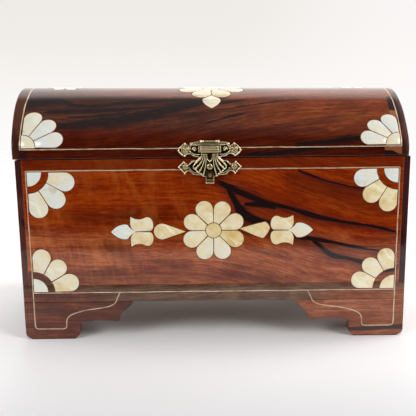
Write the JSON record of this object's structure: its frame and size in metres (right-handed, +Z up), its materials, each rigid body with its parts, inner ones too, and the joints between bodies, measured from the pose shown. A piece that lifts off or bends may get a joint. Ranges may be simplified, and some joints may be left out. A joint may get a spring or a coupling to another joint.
{
  "type": "domed jewellery box",
  "caption": "Small domed wooden jewellery box on bracket feet, with a hinged lid, a cast clasp, and shell flowers and pale wire let into its faces.",
  "frame": {"origin": "bottom centre of the whole box, on the plane that the feet stand on", "axes": "+Z up, the front with the clasp faces -Y, +X to the right seen from the front"},
  "size_m": [0.28, 0.1452, 0.1795],
  "materials": {
    "rosewood": "gloss varnish over figured red-brown veneer with black streaks",
    "base_wood": "gloss varnish over greyish brown veneer",
    "inner_wood": "plain, thinly sealed",
    "mother_of_pearl": "polished shell, white to cream",
    "stringing_wire": "drawn white-metal wire under varnish",
    "antique_brass": "cast, darkened in the recesses and rubbed bright on the edges"
  },
  "bodies": {
    "box": {"base_rail_back": "base_wood", "base_rail_front": "base_wood", "base_rail_left": "base_wood", "base_rail_right": "base_wood", "clasp_catch_plate": "antique_brass", "clasp_nail_catch_left": "antique_brass", "clasp_nail_catch_right": "antique_brass", "floor_board": "inner_wood", "foot_back_left": "base_wood", "foot_back_right": "base_wood", "foot_front_left": "base_wood", "foot_front_right": "base_wood", "hinge_left_body_leaf": "antique_brass", "hinge_right_body_leaf": "antique_brass", "shell_fan_lower_left": "mother_of_pearl", "shell_fan_lower_right": "mother_of_pearl", "shell_fan_upper_left": "mother_of_pearl", "shell_fan_upper_right": "mother_of_pearl", "shell_front_drop_left": "mother_of_pearl", "shell_front_drop_right": "mother_of_pearl", "shell_front_flower": "mother_of_pearl", "shell_front_hub": "mother_of_pearl", "shell_front_spray_left": "mother_of_pearl", "shell_front_spray_right": "mother_of_pearl", "shell_left_flower": "mother_of_pearl", "shell_quarter_lower_left": "mother_of_pearl", "shell_quarter_lower_right": "mother_of_pearl", "shell_quarter_upper_left": "mother_of_pearl", "shell_quarter_upper_right": "mother_of_pearl", "shell_right_flower": "mother_of_pearl", "stringing_back": "stringing_wire", "stringing_front": "stringing_wire", "stringing_left": "stringing_wire", "stringing_right": "stringing_wire", "wall_back": "rosewood", "wall_front": "rosewood", "wall_left": "rosewood", "wall_right": "rosewood"},
    "lid": {"clasp_lid_plate": "antique_brass", "clasp_nail_lid_left": "antique_brass", "clasp_nail_lid_right": "antique_brass", "clasp_pin": "antique_brass", "hinge_left_lid_leaf": "antique_brass", "hinge_left_pin": "antique_brass", "hinge_right_lid_leaf": "antique_brass", "hinge_right_pin": "antique_brass", "lid_end_left": "rosewood", "lid_end_right": "rosewood", "lid_shell": "rosewood", "shell_lid_fan_back_left": "mother_of_pearl", "shell_lid_fan_back_right": "mother_of_pearl", "shell_lid_fan_front_left": "mother_of_pearl", "shell_lid_fan_front_right": "mother_of_pearl", "shell_lid_flower": "mother_of_pearl", "shell_lid_leaf": "mother_of_pearl", "stringing_lid": "stringing_wire"},
    "hasp": {"clasp_hasp": "antique_brass"}
  },
  "joints": [
    {"name": "lid_hinge", "type": "hinge", "parent": "box", "child": "lid", "pos_m": [0, 0.0702, 0.13525], "axis": [-1, 0, 0], "range_deg": [0, 105]},
    {"name": "hasp_hinge", "type": "hinge", "parent": "lid", "child": "hasp", "pos_m": [-0.002, -0.07, 0.142], "axis": [-1, 0, 0], "range_deg": [0, 120]}
  ]
}
